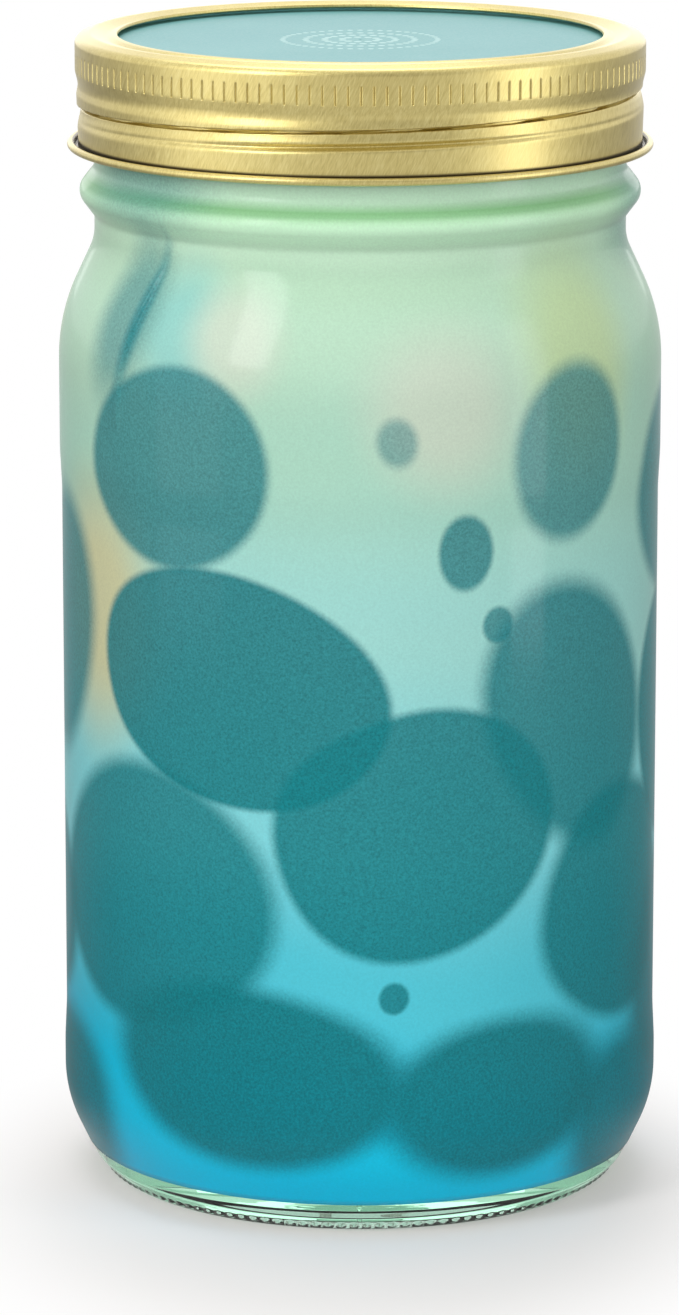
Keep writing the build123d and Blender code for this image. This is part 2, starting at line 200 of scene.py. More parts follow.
# Materials
class Graph:
    """The nodes of a material, or of the world. add() puts in a node and gives one of its outputs."""

    def __init__(self, name, family=bpy.data.materials):
        self.owner = family.new(name)
        self.owner.use_nodes = True
        self.tree = self.owner.node_tree
        self.shader = self.tree.nodes.get("Principled BSDF")

    def add(self, kind, inputs=None, output=0, **settings):
        node = self.tree.nodes.new(kind)
        for key, value in settings.items():
            setattr(node, key, value)
        for key, value in (inputs or {}).items():
            self.set(node.inputs[key], value)
        return node.outputs[output]

    def set(self, socket, value):
        if isinstance(value, bpy.types.NodeSocket):
            self.tree.links.new(value, socket)
        else:
            socket.default_value = value

    def shade(self, **values):
        """Sets inputs of the shader, and gives the finished material."""
        for key, value in values.items():
            self.set(self.shader.inputs[key.replace("_", " ")], value)
        return self.owner

    def result(self, **values):
        for key, value in values.items():
            self.set(self.tree.nodes["Material Output"].inputs[key], value)

    def place(self):
        return self.add("ShaderNodeTexCoord", output="Object")

    def rays(self):
        """What kind of ray meets the surface, by name."""
        return self.add("ShaderNodeLightPath").node.outputs

    def seen(self, rays, mirrored):
        """1 for what the camera sees, also through glass, and the given share in gloss."""
        either = self.math("MAXIMUM", rays["Is Camera Ray"], mirrored)
        return self.math("MAXIMUM", either, rays["Is Transmission Ray"])

    def math(self, operation, first, second=0.0, third=0.0):
        return self.add("ShaderNodeMath", {0: first, 1: second, 2: third}, operation=operation)

    def hypotenuse(self, first, second):
        squares = [self.math("MULTIPLY", side, side) for side in (first, second)]
        return self.math("SQRT", self.math("ADD", *squares))

    def parts(self, vector):
        """X, Y and Z of a vector, by name."""
        return self.add("ShaderNodeSeparateXYZ", {0: vector}).node.outputs

    def vector(self, operation, first, second):
        return self.add("ShaderNodeVectorMath", {0: first, 1: second}, operation=operation)

    def length(self, vector):
        return self.add("ShaderNodeVectorMath", {0: vector}, output="Value", operation="LENGTH")

    def noise(self, vector, scale, detail=2.0, roughness=0.5, output=0):
        inputs = {"Vector": vector, "Scale": scale, "Detail": detail, "Roughness": roughness}
        return self.add("ShaderNodeTexNoise", inputs, output)

    def stretched(self, vector, scale):
        return self.add("ShaderNodeMapping", {"Vector": vector, "Scale": scale})

    def from_oval(self, vector, middle, size, turn=(0, 0, 0)):
        """Distance from the middle of an oval of the given half sizes, 1 on its outline."""
        inputs = {"Vector": vector, "Location": middle, "Rotation": turn, "Scale": size}
        return self.length(self.add("ShaderNodeMapping", inputs, vector_type="TEXTURE"))

    def ramp(self, value, stops, interpolation="LINEAR"):
        node = self.tree.nodes.new("ShaderNodeValToRGB")
        node.color_ramp.interpolation = interpolation
        elements = node.color_ramp.elements
        while len(elements) < len(stops):
            elements.new(0.5)
        for element, (place, colour) in zip(elements, stops):
            element.position = place
            element.color = (*colour, 1)
        self.set(node.inputs[0], value)
        return node.outputs[0]

    def blend(self, share, first, second, mode="MIX"):
        node = self.tree.nodes.new("ShaderNodeMix")
        node.data_type = "RGBA"
        node.blend_type = mode
        self.set(node.inputs["Factor"], share)
        for key, value in (("A_Color", first), ("B_Color", second)):
            socket = next(s for s in node.inputs if s.identifier == key)
            self.set(socket, (*value, 1) if isinstance(value, tuple) else value)
        return next(s for s in node.outputs if s.identifier == "Result_Color")

    def range(self, value, low, high, new_low=0.0, new_high=1.0, kind="LINEAR"):
        inputs = {"Value": value, "From Min": low, "From Max": high, "To Min": new_low, "To Max": new_high}
        return self.add("ShaderNodeMapRange", inputs, interpolation_type=kind)

    def spread(self, grain, low, high):
        """Carries a noise, nearly all of which is from 0.3 to 0.7, to the values or colours given."""
        if isinstance(low, tuple):
            return self.ramp(grain, [(0.3, low), (0.7, high)])
        return self.range(grain, 0.3, 0.7, low, high)

    def bump(self, height, strength, distance, **normal):
        inputs = {"Height": height, "Strength": strength, "Distance": distance, **normal}
        return self.add("ShaderNodeBump", inputs)


def glass_material():
    """Clear glass with the faint green of a jar. Lamps shine through it without bending."""
    graph = Graph("clear_green_glass")
    ripple = graph.noise(graph.place(), 70.0)
    graph.shade(
        Base_Color=(0.93, 0.99, 0.96, 1),
        Roughness=0.01,
        IOR=1.5,
        Transmission_Weight=1.0,
        Normal=graph.bump(ripple, 0.15, 0.0006),
    )
    clear = graph.add("ShaderNodeBsdfTransparent", {"Color": (0.86, 0.97, 0.92, 1)})
    lamp_ray = graph.rays()["Is Shadow Ray"]
    mixed = graph.add("ShaderNodeMixShader", {0: lamp_ray, 1: graph.shader.outputs[0], 2: clear})
    depth = graph.add("ShaderNodeVolumeAbsorption", {"Color": (0.42, 0.84, 0.62, 1), "Density": 16.0})
    graph.result(Surface=mixed, Volume=depth)
    return graph.owner


# Pebbles of the print: (turns from the front, height, half width, half height, tilt in degrees, edge share,
# darkness share)
PEBBLES = [
    (-0.150, 163, 15, 7, 0, 0.60, 0.55),
    (0.230, 158, 13, 9, 0, 0.60, 0.50),
    (-0.143, 143, 6, 12, 12, 0.55, 0.70),
    # The narrow one below is painted shade: the dark line along the pleat's sharp face
    (-0.133, 142.5, 1.2, 10.5, 13, 0.80, 0.90),
    (-0.105, 121, 17, 15, -16, 0.07, 0.88),
    (-0.222, 92, 15, 21, 12, 0.17, 0.86),
    (-0.070, 88, 25, 19, 10, 0.035, 0.94),
    (0.030, 66, 22, 20, -20, 0.05, 0.92),
    (-0.130, 52, 24, 21, -12, 0.10, 0.90),
    (0.125, 82, 17, 23, -16, 0.12, 0.90),
    (0.120, 124, 11, 13, 20, 0.13, 0.80),
    (0.165, 50, 19, 18, 8, 0.10, 0.92),
    (-0.060, 26, 25, 15, 6, 0.15, 0.95),
    (0.080, 22, 20, 13, -10, 0.20, 0.94),
    (-0.205, 15, 15, 12, 12, 0.30, 0.90),
    (0.185, 14, 19, 15, 10, 0.26, 0.92),
    (0.055, 110, 4.6, 5.4, 10, 0.14, 0.85),
    (0.075, 99, 2.8, 3.0, 0, 0.18, 0.80),
    (0.020, 126, 3.2, 3.6, 0, 0.30, 0.60),
    (0.020, 40, 2.6, 2.8, 0, 0.16, 0.85),
    (0.250, 112, 20, 16, 14, 0.12, 0.88),
    (0.245, 76, 17, 22, -14, 0.07, 0.92),
    (0.265, 36, 25, 19, -10, 0.16, 0.93),
    (0.330, 98, 17, 20, 18, 0.05, 0.92),
    (0.345, 60, 24, 18, 8, 0.09, 0.92),
    (0.360, 22, 22, 16, -8, 0.20, 0.93),
    (0.410, 122, 15, 13, -14, 0.12, 0.85),
    (0.425, 84, 20, 22, 16, 0.10, 0.90),
    (0.455, 44, 25, 19, -14, 0.06, 0.93),
    (0.470, 12, 24, 14, 4, 0.24, 0.92),
    (-0.460, 108, 16, 20, 18, 0.14, 0.86),
    (-0.400, 70, 23, 20, -16, 0.05, 0.93),
    (-0.395, 30, 22, 17, 8, 0.17, 0.92),
    (-0.345, 118, 18, 14, 10, 0.10, 0.86),
    (-0.310, 88, 16, 20, -18, 0.08, 0.90),
    (-0.285, 46, 25, 20, 10, 0.12, 0.92),
    (-0.275, 14, 24, 14, -6, 0.22, 0.92),
    (-0.255, 118, 5.0, 6.0, 0, 0.18, 0.80),
    (-0.425, 96, 2.8, 3.2, 0, 0.20, 0.80),
    (0.300, 124, 3.4, 3.8, 0, 0.20, 0.78),
]


# Soft pale patches under the pebbles: as above up to the tilt, then a colour
CREAM = (0.700, 0.670, 0.380)
PALE = (0.640, 0.745, 0.600)
SPRING_GREEN = (0.560, 0.730, 0.400)
SEA_GREEN = (0.300, 0.660, 0.600)
GLOWS = [
    (-0.160, 96, 15, 21, 0, CREAM),
    (0.128, 138, 12, 17, 0, SPRING_GREEN),
    (0.045, 131, 13, 13, 0, PALE),
    (-0.103, 141, 9, 12, 0, SEA_GREEN),
    (-0.068, 141, 9, 9, 0, PALE),
    (0.290, 94, 17, 20, 10, CREAM),
    (0.400, 138, 15, 12, 0, SPRING_GREEN),
    (-0.430, 132, 14, 13, 0, CREAM),
    (-0.350, 62, 15, 18, -10, CREAM),
    (-0.280, 136, 13, 12, 0, SPRING_GREEN),
]


def print_material():
    """Glossy film with a sprayed gradient and the soft shadows of round pebbles and bubbles."""
    graph = Graph("printed_film")
    place = graph.place()
    print_height = 0.17
    drift = 0.035
    sway_reach = 0.006
    share = graph.range(graph.parts(place)["Z"], 0.0, print_height)
    wander = graph.spread(graph.noise(place, 14.0, 1.0), -drift, drift)
    below_neck = graph.range(share, 0.86, 0.78)
    drifted = graph.math("ADD", share, graph.math("MULTIPLY", wander, below_neck))
    ground = graph.ramp(drifted, [
        (0.00, (0.000, 0.400, 0.640)),
        (0.12, (0.000, 0.510, 0.730)),
        (0.24, (0.090, 0.610, 0.730)),
        (0.38, (0.250, 0.740, 0.780)),
        (0.55, (0.390, 0.770, 0.710)),
        (0.74, (0.450, 0.750, 0.590)),
        (0.84, (0.520, 0.770, 0.580)),
        (0.89, (0.500, 0.735, 0.535)),
        # 0.912 to 0.938: painted light, paler to lift the shade in the hollow under the bead
        (0.912, (0.590, 0.840, 0.620)),
        (0.926, (0.680, 1.000, 0.720)),
        (0.938, (0.620, 0.950, 0.650)),
        (0.948, (0.270, 0.590, 0.270)),
        (0.958, (0.600, 0.880, 0.640)),
        (1.00, (0.600, 0.860, 0.640)),
    ], "EASE")
    sway = graph.noise(place, 24.0, 0.0, output="Color")
    sway = graph.vector("MULTIPLY", sway, 3 * (sway_reach,))
    sway = graph.vector("SUBTRACT", sway, 3 * (sway_reach / 2,))
    swayed = graph.vector("ADD", place, sway)

    def from_middle(turns, level, wide, tall, tilt):
        """Distance from the middle of an oval on the film, 1 on its outline."""
        angle = turns * TURN - BACK
        middle = (body_radius * math.cos(angle) * MM, body_radius * math.sin(angle) * MM, level * MM)
        size = (wide * MM, max(wide, tall) * 1.3 * MM, tall * MM)
        return graph.from_oval(swayed, middle, size, (0, math.radians(tilt), angle + BACK))

    for *oval, colour in GLOWS:
        glow = graph.range(from_middle(*oval), 1.35, 0.35, 0.0, 0.92, "SMOOTHSTEP")
        ground = graph.blend(glow, ground, colour)
    light = None
    for *oval, edge, dark in PEBBLES:
        passed = graph.range(from_middle(*oval), 1 - edge, 1 + edge, 1 - dark, 1.0, "SMOOTHSTEP")
        light = passed if light is None else graph.math("MULTIPLY", light, passed)
    shadow = graph.ramp(share, [
        (0.03, (0.000, 0.150, 0.185)),
        (0.35, (0.000, 0.230, 0.260)),
        (0.65, (0.012, 0.225, 0.250)),
        (1.00, (0.045, 0.275, 0.285)),
    ])
    grain = graph.noise(place, 2600.0, 2.0, 0.7)
    swing = graph.math("MULTIPLY", graph.spread(grain, -1.0, 1.0), graph.range(light, 0.0, 1.0, 0.24, 0.05))
    speckle = graph.math("ADD", swing, 1.0)
    speckle = graph.add("ShaderNodeCombineColor", {0: speckle, 1: speckle, 2: speckle})
    skin = graph.noise(place, 38.0)
    return graph.shade(
        Base_Color=graph.blend(1.0, graph.blend(light, shadow, ground), speckle, "MULTIPLY"),
        Roughness=graph.spread(grain, 0.42, 0.54),
        Specular_IOR_Level=0.06,
        Coat_Weight=0.42,
        Coat_Roughness=0.11,
        Coat_IOR=1.45,
        Normal=graph.bump(skin, 0.25, 0.0004, Normal=graph.bump(grain, 0.10, 0.00004)),
    )


def film_back():
    """White backing ink on the inside of the film, with painted light: a glow that stands in for the daylight
    that comes through the film.
    """
    # Emission: painted light, a glow that lights the inside of the closed jar
    return grained("film_white_backing", (0.72, 0.76, 0.74), (0.80, 0.83, 0.81), 500.0,
                   Emission_Color=(0.80, 1.0, 0.92, 1), Emission_Strength=0.45)


def brushed_gold():
    """Gold lacquered tinplate with fine slanting brush marks, and painted shade: dark brown in the crevice
    above the rolled hem.
    """
    graph = Graph("brushed_gold_tinplate")
    place = graph.place()
    height = graph.parts(place)["Z"]
    marks = []
    for slant, fineness in ((-12.0, 3800.0), (-5.0, 5200.0)):
        angle = graph.math("MULTIPLY", height, slant)
        inputs = {"Vector": place, "Angle": angle}
        turned = graph.add("ShaderNodeVectorRotate", inputs, rotation_type="Z_AXIS")
        marks.append(graph.noise(graph.stretched(turned, (1.0, 1.0, 0.11)), fineness, 2.0, 0.6))
    brushed = graph.math("MULTIPLY", graph.math("ADD", *marks), 0.5)
    cloud = graph.spread(graph.noise(place, 140.0), -0.03, 0.03)
    colour = graph.ramp(graph.math("ADD", brushed, cloud), [
        (0.34, (0.570, 0.460, 0.155)),
        (0.50, (0.680, 0.564, 0.212)),
        (0.66, (0.760, 0.656, 0.285)),
    ])
    # Painted shade: the colour turns dark brown in the crevice where the rolled hem meets the skirt
    painted_shade_reach = hem_reach - hem_roll
    painted_shade_height = hem_bottom + 2 * hem_roll
    reach = graph.length(graph.vector("MULTIPLY", place, (1, 1, 0)))
    within = graph.range(reach, (painted_shade_reach - 0.10) * MM, (painted_shade_reach - 0.25) * MM)
    below = graph.range(height, (painted_shade_height + 0.40) * MM, (painted_shade_height + 0.05) * MM)
    return graph.shade(
        Base_Color=graph.blend(graph.math("MULTIPLY", within, below), colour, (0.100, 0.075, 0.030)),
        Metallic=1.0,
        Roughness=graph.range(brushed, 0.35, 0.65, 0.33, 0.46),
        Coat_Weight=0.55,
        Coat_Roughness=0.30,
        Coat_IOR=1.5,
        Normal=graph.bump(brushed, 0.20, 0.00006),
    )


# Rings of pale dots in the middle of the lid: (ring's radius, number of dots, dot's radius)
DOT_RINGS = [(12.2, 48, 0.55), (8.6, 32, 0.62), (5.6, 21, 0.66), (2.9, 11, 0.68)]
DOT_EDGE = 0.14


def lid_paint():
    """Matt turquoise lacquer with a fine tooth, and four rings of pale dots in its middle."""
    graph = Graph("lid_lacquer")
    place = graph.place()
    tooth = graph.noise(place, 3200.0)
    lacquer = graph.spread(graph.noise(place, 45.0), (0.160, 0.420, 0.425), (0.185, 0.450, 0.450))
    flat = graph.parts(place)
    reach = graph.hypotenuse(flat["X"], flat["Y"])
    turn = graph.math("ARCTAN2", flat["Y"], flat["X"])
    dots = None
    for radius, count, size in DOT_RINGS:
        half = TURN / count / 2
        sideways = graph.math("MULTIPLY", graph.math("WRAP", turn, half, -half), radius * MM)
        away = graph.hypotenuse(sideways, graph.math("SUBTRACT", reach, radius * MM))
        dot = graph.range(away, size * MM, (size - DOT_EDGE) * MM, kind="SMOOTHSTEP")
        dots = dot if dots is None else graph.math("MAXIMUM", dots, dot)
    return graph.shade(
        Base_Color=graph.blend(graph.math("MULTIPLY", dots, 0.75), lacquer, (0.560, 0.800, 0.760)),
        Roughness=graph.spread(tooth, 0.40, 0.52),
        Specular_IOR_Level=0.30,
        Normal=graph.bump(tooth, 0.12, 0.00003),
    )


def grained(name, low, high, scale, stretch=(1, 1, 1), roughness=0.5, bump=(0.15, 0.00005), **values):
    """A surface whose colour, roughness and relief vary with one noise."""
    graph = Graph(name)
    grain = graph.noise(graph.stretched(graph.place(), stretch), scale, 3.0, 0.6)
    return graph.shade(
        Base_Color=graph.spread(grain, low, high),
        Roughness=graph.spread(grain, roughness - 0.06, roughness + 0.06),
        Normal=graph.bump(grain, *bump),
        **values,
    )


def sealing_compound():
    """Buff rubber-like compound under the rim of the lid."""
    return grained("sealing_compound", (0.58, 0.47, 0.38), (0.68, 0.57, 0.47), 900.0)


def satin_steel():
    """Stamped stainless steel with fine marks round the pot."""
    return grained("satin_steel", (0.56, 0.56, 0.57), (0.70, 0.70, 0.71), 1500.0, (0.2, 0.2, 1), 0.28,
                   Metallic=1.0)


def coir_material():
    """Coconut fibre, from dark brown dust to pale straw."""
    graph = Graph("coir_fibre")
    place = graph.place()
    clumps = graph.noise(place, 260.0, 3.0, 0.6)
    dust = graph.noise(place, 1700.0, 2.0, 0.6)
    mixed = graph.math("ADD", graph.math("MULTIPLY", clumps, 0.6), graph.math("MULTIPLY", dust, 0.4))
    return graph.shade(
        Base_Color=graph.ramp(mixed, [
            (0.32, (0.050, 0.024, 0.011)),
            (0.48, (0.150, 0.080, 0.036)),
            (0.62, (0.300, 0.175, 0.082)),
            (0.74, (0.480, 0.320, 0.170)),
        ]),
        Roughness=graph.spread(dust, 0.85, 1.0),
        Normal=graph.bump(dust, 0.7, 0.0003),
    )


def felt_material():
    """Undyed needled felt."""
    return grained("undyed_felt", (0.52, 0.50, 0.44), (0.72, 0.70, 0.64), 1400.0, (1, 1, 0.5), 0.94,
                   (0.6, 0.0002), Sheen_Weight=0.3, Sheen_Roughness=0.5)


def kraft_paper():
    """Brown kraft paper with short darker fibres."""
    graph = Graph("kraft_paper")
    place = graph.place()
    cloud = graph.noise(place, 120.0)
    fibres = graph.noise(graph.stretched(place, (0.25, 1.0, 1.0)), 2400.0, 2.0, 0.6)
    pulp = graph.spread(cloud, (0.400, 0.255, 0.130), (0.480, 0.320, 0.175))
    flecks = graph.range(fibres, 0.62, 0.70, 0.0, 0.45)
    return graph.shade(
        Base_Color=graph.blend(flecks, pulp, (0.250, 0.140, 0.060)),
        Roughness=graph.spread(fibres, 0.78, 0.9),
        Normal=graph.bump(fibres, 0.3, 0.00005),
    )


def sachet_film():
    """White laminate film with a soft gloss."""
    graph = Graph("sachet_laminate")
    creases = graph.noise(graph.place(), 420.0, 3.0, 0.6)
    return graph.shade(
        Base_Color=graph.spread(creases, (0.740, 0.760, 0.750), (0.800, 0.810, 0.800)),
        Roughness=graph.spread(creases, 0.22, 0.34),
        Coat_Weight=0.3,
        Coat_Roughness=0.12,
        Normal=graph.bump(creases, 0.35, 0.00015),
    )


def dress(obj, material, body, slot, *nodes):
    """Gives a finished piece its material and its body, and hides the nodes that it stands for. The slot is
    not used.
    """
    obj.data.materials.append(material)
    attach(obj, body)
    if nodes:
        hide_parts(*nodes)


# Glass jar
def outer_wall(extra, low):
    """Corners of the glass outside, from the neck down to a height on the heel, grown by extra."""
    neck = neck_radius + extra
    body = body_radius + extra
    slope = heel_inset / (heel_top - heel_low)
    return [
        (neck, bead_top, 1.6),
        (neck + bead_height, bead_middle, 2.3),
        (neck, bead_bottom, 1.6),
        (neck, shoulder_top, 8.0),
        (body, shoulder_bottom, 30.0),
        (body, panel_top + panel_blend, 40.0),
        (body - panel_recess, panel_top, 40.0),
        (body - panel_recess, panel_bottom, 40.0),
        (body, panel_bottom - panel_blend, 40.0),
        (body, heel_top, 20.0),
        (body - slope * (heel_top - low), low, 0),
    ]


# Moulded thread: its height, its turns, and where it starts at the front and ends below the lip
thread_rise = 1.7
thread_turns = 1.25
thread_front = groove_height + 1.2
thread_end = (lip_top - 3.0 - thread_front) / pitch
thread_fade = 0.06
thread_flank = (0.4, 1.3)

# Small feet, part balls whose middles lie on a circle just outside the bearing ring
feet = 128
feet_circle = ring_outer + 1.2
foot_place = (ring_outer + 0.9, 0.95)
foot_radius = 0.62
foot_push = 0.26
foot_slant = 0.7


def moulded_thread(angle, radius, height):
    """Raises the thread on the neck and a ring of small feet beside the bearing ring."""
    grown = np.zeros_like(radius)
    for lap in (-1, 0, 1):
        turn = turns_from_front(angle) + lap
        away = np.abs(height - thread_front - pitch * turn)
        start = thread_end - thread_turns
        reach = plateau(turn, (start, start + thread_fade), (thread_end - thread_fade, thread_end))
        grown = np.maximum(grown, thread_rise * reach * (1 - soft_step(*thread_flank, away)))
    outside = (radius > neck_radius - 0.05) & (height > bead_top)
    radius = radius + np.where(outside, grown, 0)
    along = np.abs((angle * feet / TURN) % 1 - 0.5) * TURN * feet_circle / feet
    across = np.hypot(radius - foot_place[0], height - foot_place[1])
    dome = np.clip(1 - (along ** 2 + across ** 2) / foot_radius ** 2, 0, 1)
    under = (height < heel_low - 0.2) & (radius > ring_outer)
    push = np.where(under, foot_push * np.sqrt(dome), 0) * foot_slant
    return radius + push, np.maximum(height - push, 0.02)


def make_jar():
    """The glass jar, inside and outside in one closed surface, with fine rows at its thread and heel."""
    pole = 0.3
    base_top = panel_bottom - 10
    inside_lift = 1.5
    lip_middle = (mouth_radius + neck_radius) / 2
    wall = outer_wall(0, heel_low)
    finish = rounded([(lip_middle, lip_top, 0), (neck_radius, lip_top, 1.2), (neck_radius, bead_top, 0)], 0.3)
    body = rounded([*wall[:-2], (body_radius, base_top, 0)], 2.0)
    base = rounded([
        (body_radius, base_top, 0),
        wall[-2],
        (body_radius - heel_inset, heel_low, 3.0),
        (ring_outer, 0, 0.8),
        (ring_inner, 0, 0.8),
        (push_up_radius, push_up_rise, 5.0),
        (pole, push_up_rise + push_up_crown, 0),
    ], 0.35)
    inside = rounded([
        (pole, inner_floor + floor_crown, 0),
        (push_up_radius, inner_floor, 9.0),
        (inner_radius, inner_floor, 9.0),
        (inner_radius, shoulder_bottom + inside_lift, 30.0),
        (mouth_radius, shoulder_top + inside_lift, 13.0),
        (mouth_radius, lip_top, 1.2),
        (lip_middle, lip_top, 0),
    ], 2.0)
    outline = np.vstack([finish, body[1:], base[1:], inside[:-1]])
    return lathe("jar_glass", outline, 768, moved=moulded_thread)


dress(make_jar(), glass_material(), "jar", "jar_glass", "jar")


# Printed sleeve: its film, and one pleat that leans as it runs down, from a sharp face to a soft back
film = 0.15
film_gap = 0.05
pleat_turn = -0.124
pleat_lean = 0.020
pleat_top = 153.0
pleat_foot = 124.0
pleat_lift = 0.50
pleat_face = 0.5
pleat_back = 4.5


def pleated(angle, radius, height):
    """Lifts one pleat that the film took as it shrank over the left of the shoulder."""
    line = pleat_turn - pleat_lean * np.sqrt(soft_step(pleat_top, pleat_foot, height))
    away = (turns_from_front(angle) - line) * TURN * body_radius
    lift = np.where(away < 0, np.exp(away / pleat_back), np.clip(1 - away / pleat_face, 0, 1))
    window = plateau(height, (pleat_foot - 1, pleat_foot + 6), (pleat_top - 5, pleat_top))
    return radius + pleat_lift * lift * window * (radius > neck_radius + film), height


def film_angles():
    """Angles round the film, closer together beside the pleat."""
    start = pleat_turn - 0.051
    end = pleat_turn + 0.009
    pleat = np.linspace(start, end, 130)
    rest = np.linspace(end, start + 1, 340)[1:-1]
    return np.concatenate([pleat, rest]) * TURN - BACK


def make_sleeve():
    """The printed film, from the heel to under the band."""
    faces = []
    for extra in (film_gap, film_gap + film):
        top = (neck_radius + extra, sleeve_high.z / MM, 0)
        faces.append(rounded([top, *outer_wall(extra, sleeve_low.z / MM)], 1.3))
    outline = np.vstack([faces[1], faces[0][::-1]])
    obj = lathe("printed_film", outline, film_angles(), moved=pleated)
    rows = np.arange(len(obj.data.polygons)) % len(outline)
    inside = (rows >= len(faces[1])) & (rows < len(outline) - 1)
    return obj, inside


sleeve, sleeve_inside = make_sleeve()
dress(sleeve, print_material(), "jar", "sleeve_film", "printed_sleeve")
sleeve.data.materials.append(film_back())
sleeve.data.polygons.foreach_set("material_index", sleeve_inside.astype(np.int32))


# Screw band: knurl, and the pressed thread with its crevice, the slope below that and a short crease
KNURLS = 144
KNURL_PLACES = (-0.30, -0.16, -0.08, 0.0, 0.08, 0.16, 0.30, 0.68)
notch_depth = 0.30
notch_half = 0.16
crevice_depth = 1.9
crevice_half = 0.36
slope_depth = 0.62
crease_depth = 0.85
crease_half = 0.42


def band_angles():
    """Angles that gather at each knurl's notch."""
    return np.array([TURN * index / KNURLS + place / belt_radius
                     for index in range(KNURLS) for place in KNURL_PLACES])


def pressed(angle, radius, height):
    """Presses the thread, its short crease and the knurl into the band's wall."""
    wall = soft_step(belt_radius - 3.1, belt_radius - 2.3, radius)
    wall = wall * soft_step(hem_bottom + 1.4, hem_bottom + 2.4, height)
    depth = np.zeros_like(radius)
    for lap in (-1, 0, 1):
        turn = turns_from_front(angle) + lap
        above = height - (groove_height + pitch * turn)
        reach = plateau(turn, (-0.60, -0.50), (0.30, 0.40))
        crevice = crevice_depth * np.clip(1 - np.abs(above + 0.02) / crevice_half, 0, 1) ** 0.8
        slope = slope_depth * (1 - soft_step(-0.1, 0.3, above)) * soft_step(-3.4, 0.0, above)
        depth = np.maximum(depth, np.maximum(crevice, slope) * reach)
        fade = 0.2 + 0.8 * plateau(turn, (-0.11, -0.01), (0.02, 0.12))
        fade = fade * plateau(turn, (-0.25, -0.12), (0.12, 0.25))
        crease = np.exp(-((above + 2.35 + 1.1 * turn) / crease_half) ** 2)
        depth = np.maximum(depth, slope * reach + crease_depth * crease * fade)
    rows = plateau(height, (flange_top - 6.1, flange_top - 5.9), (flange_top - 3.3, flange_top - 2.9))
    away = ((angle * KNURLS / TURN + 0.5) % 1 - 0.5) * TURN * belt_radius / KNURLS
    notch = np.clip(1 - np.abs(away) / notch_half, 0, 1)
    return radius - (depth + notch_depth * notch * rows) * wall, height


def make_band():
    """The screw band: a sheet ring with its flange, belt, skirt and rolled hem."""
    belt = belt_radius
    top = flange_top
    edge_height = top - 3.0
    dish = (belt - 5.0, top - 0.72)
    skirt_low = belt - 0.45
    flange = rounded([
        (belt - 6.75, top - 0.62, 0),
        (belt - 6.6, top - 0.12, 0.20),
        (belt - 5.9, top - 0.26, 0.4),
        (*dish, 0.6),
        (belt - 2.4, top + 0.04, 1.2),
        (belt, top - 0.75, 1.3),
        (belt, edge_height, 0),
    ], 0.16)
    wall = rounded([
        (belt, edge_height, 0),
        (belt, belt_bottom + 0.9, 3.0),
        (belt - 0.5, belt_bottom - 1.2, 3.0),
        (belt - 0.2, groove_height + 0.5, 2.5),
        (belt - 0.35, groove_height - 4.0, 4.0),
        (skirt_low, hem_bottom + 0.26, 0.1),
        (hem_reach - 2 * hem_roll - 0.05, hem_bottom + 0.22, 0),
    ], 0.11)
    hem_middle = Vector((hem_reach - hem_roll, hem_bottom + hem_roll))
    hem = [hem_middle + Matrix.Rotation(math.radians(step), 2) @ Vector((0, hem_roll))
           for step in range(90, -220, -10)]
    inside = rounded([
        (skirt_low - metal, hem_bottom + 0.06, 0),
        (belt - metal - 0.2, belt_bottom - 1.0, 1.0),
        (belt - metal, top - 1.0, 1.4),
        (belt - 2.2, top - metal, 1.2),
        (dish[0], dish[1] - metal, 1.0),
        (belt - 6.7, top - 0.66, 0),
    ], 0.4)
    outline = np.vstack([flange, wall[1:], hem, inside])
    return lathe("gold_screw_band", outline, band_angles(), moved=pressed)


dress(make_band(), brushed_gold(), "band", "band_metal", "screw_band")


# Lid disc
def make_disc():
    """The lid disc: a rim under the flange, and a flat panel pressed down inside it."""
    top = disc_high.z / MM
    rim = disc_high.x / MM
    panel = 40.2
    step = panel + 0.45
    sunk = top - 0.66
    outline = rounded([
        (0.2, sunk, 0),
        (panel, sunk, 0.25),
        (step, top, 0.3),
        (rim, top, 0.25),
        (rim, top - metal, 0.1),
        (step + metal, top - metal, 0.3),
        (panel + metal, sunk - metal, 0.25),
        (0.2, sunk - metal, 0),
    ], 0.5)
    return lathe("lacquered_disc", outline, 360)


dress(make_disc(), lid_paint(), "lid", "lid_paint", "lid_disc")


# Sealing ring
def make_ring():
    """The poured sealing ring under the rim of the disc, with a soft rounded face."""
    low = gasket_low.z / MM
    top = gasket_high.z / MM
    middle = 41.55
    half = 0.6
    outline = rounded([
        (middle - half, top, 0),
        (middle - half, low, 0.35),
        (middle + half, low, 0.35),
        (middle + half, top, 0),
    ], 0.12)
    return lathe("sealing_ring", outline, 240)


dress(make_ring(), sealing_compound(), "lid", "gasket_compound", "lid_gasket")


# The net pot keeps its solid
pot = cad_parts["net_pot"]
pot.data.materials.clear()
pot.data.materials.append(satin_steel())


# Growing medium
def strand(start, heading, length, radius, draw):
    """Points and faces of one thin, bent coir fibre with three sides, which tapers to its end."""
    steps = 5
    sides = 3
    taper = 0.7
    bend = 0.5
    rise = 0.12
    points = []
    place = Vector(start)
    for step in range(steps + 1):
        share = step / steps
        size = radius * (1 - taper * share)
        side = Vector((-math.sin(heading), math.cos(heading), 0))
        for corner in range(sides):
            turn = TURN * corner / sides
            points.append(place + side * size * math.cos(turn) + Vector((0, 0, size * math.sin(turn))))
        heading += draw.uniform(-bend, bend)
        forward = Vector((math.cos(heading), math.sin(heading), rise * (0.5 - share)))
        place = place + forward * length / steps
    end = sides * steps
    faces = [(0, 2, 1), (end, end + 1, end + 2)]
    for low in range(0, end, sides):
        for corner in range(sides):
            after = (corner + 1) % sides
            faces.append((low + corner, low + after, low + after + sides, low + corner + sides))
    return points, faces


